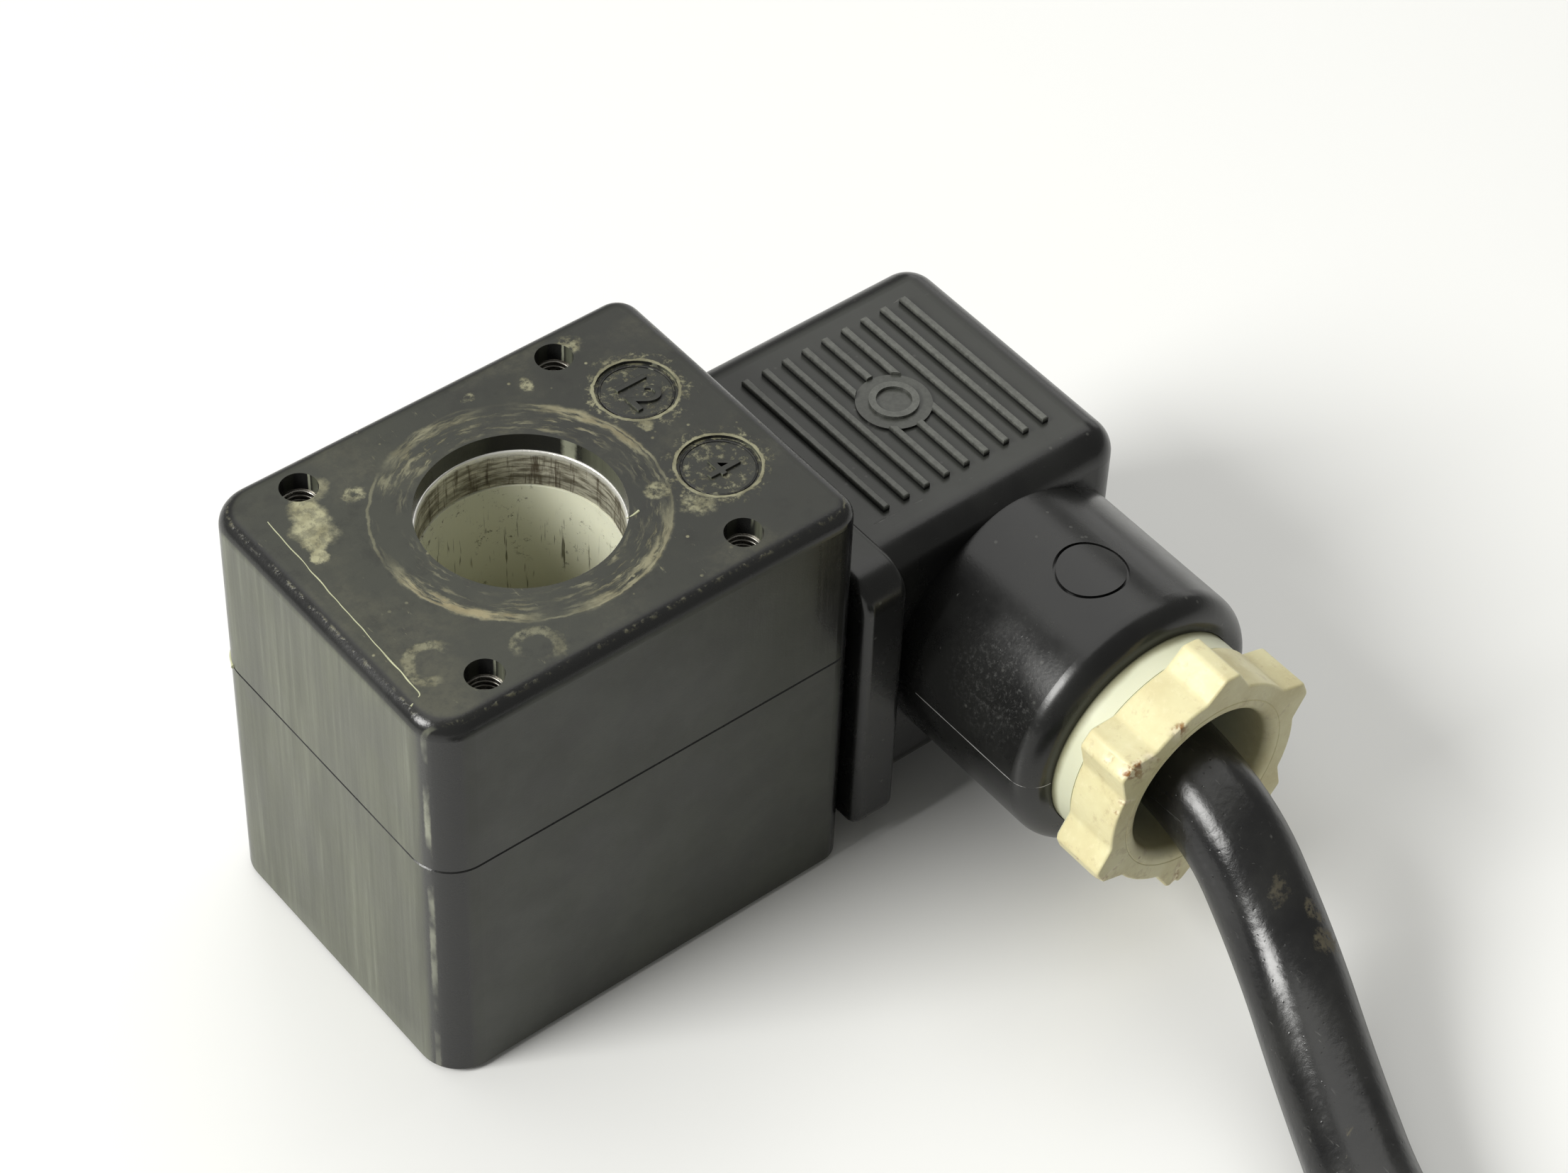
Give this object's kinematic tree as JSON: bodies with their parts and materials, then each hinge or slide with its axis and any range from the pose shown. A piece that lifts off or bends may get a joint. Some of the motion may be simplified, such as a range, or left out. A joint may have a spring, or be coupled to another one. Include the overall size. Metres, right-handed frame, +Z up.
{
  "type": "solenoid valve coil with plug",
  "caption": "Square solenoid coil for a directional valve, with an open bore for the armature tube, a right-angle terminal plug, cable gland and lead.",
  "frame": {"origin": "centre of the coil's bore on its bottom face, on the surface it stands on", "axes": "+Z up the bore, +X from the coil to the terminal plug, cable leaves the plug towards -Y"},
  "size_m": [0.1256, 0.1877, 0.0411],
  "materials": {
    "case": "satin moulded",
    "plug": "semi-gloss moulded",
    "cream": "satin moulded",
    "bobbin": "matt moulded",
    "copper": "enamelled wire",
    "tape": "wound polyester tape",
    "steel": "zinc plated",
    "brass": "machined",
    "tinned": "tin plated",
    "screw": "zinc plated",
    "black_rubber": "matt",
    "nylon": "satin",
    "jacket": "satin",
    "core_brown": "satin",
    "core_blue": "satin",
    "core_green": "satin",
    "tie": "satin"
  },
  "bodies": {
    "coil": {"case_lower": "case", "case_upper": "case", "bobbin": "bobbin", "winding": "copper", "winding_tape": "tape", "winding_leads": "copper", "yoke_bracket": "steel", "pole_plate": "steel", "pole_bush": "steel", "screw_insert": "brass", "blade_line": "tinned", "blade_return": "tinned", "blade_earth": "tinned"},
    "plug": {"plug_housing": "plug", "gasket": "black_rubber", "contact_insert": "plug", "contact_line": "brass", "contact_return": "brass", "contact_earth": "brass", "clamp_screws": "screw", "screw_seal": "black_rubber", "gland_seal": "black_rubber", "core_line": "core_brown", "core_return": "core_blue", "core_earth": "core_green", "cable_entry": "jacket", "cable_run": "jacket", "cable_coil": "jacket", "coil_tie": "tie", "tail_line": "core_brown", "tail_return": "core_blue", "tail_earth": "core_green", "core_ferrules": "tinned"},
    "screw": {"central_screw": "screw"},
    "washer": {"thrust_washer": "nylon"},
    "nut": {"gland_nut": "cream"}
  },
  "joints": [
    {"name": "plug_slide", "type": "slide", "parent": "coil", "child": "plug", "axis": [1, 0, 0], "range_m": [0, 0.012]},
    {"name": "screw_turn", "type": "hinge", "parent": "plug", "child": "screw", "pos_m": [0.049, 0, 0.01685], "axis": [1, 0, 0], "continuous": true},
    {"name": "gland_slide", "type": "slide", "parent": "plug", "child": "washer", "axis": [0, -1, 0], "range_m": [0, 0.00354]},
    {"name": "gland_turn", "type": "hinge", "parent": "washer", "child": "nut", "pos_m": [0.0392, -0.035, 0.01685], "axis": [0, -1, 0], "range_deg": [0, 900]}
  ],
  "couplings": [
    {"joint": "gland_slide", "follows": "gland_turn", "m_per_rad": 0.00022457}
  ]
}
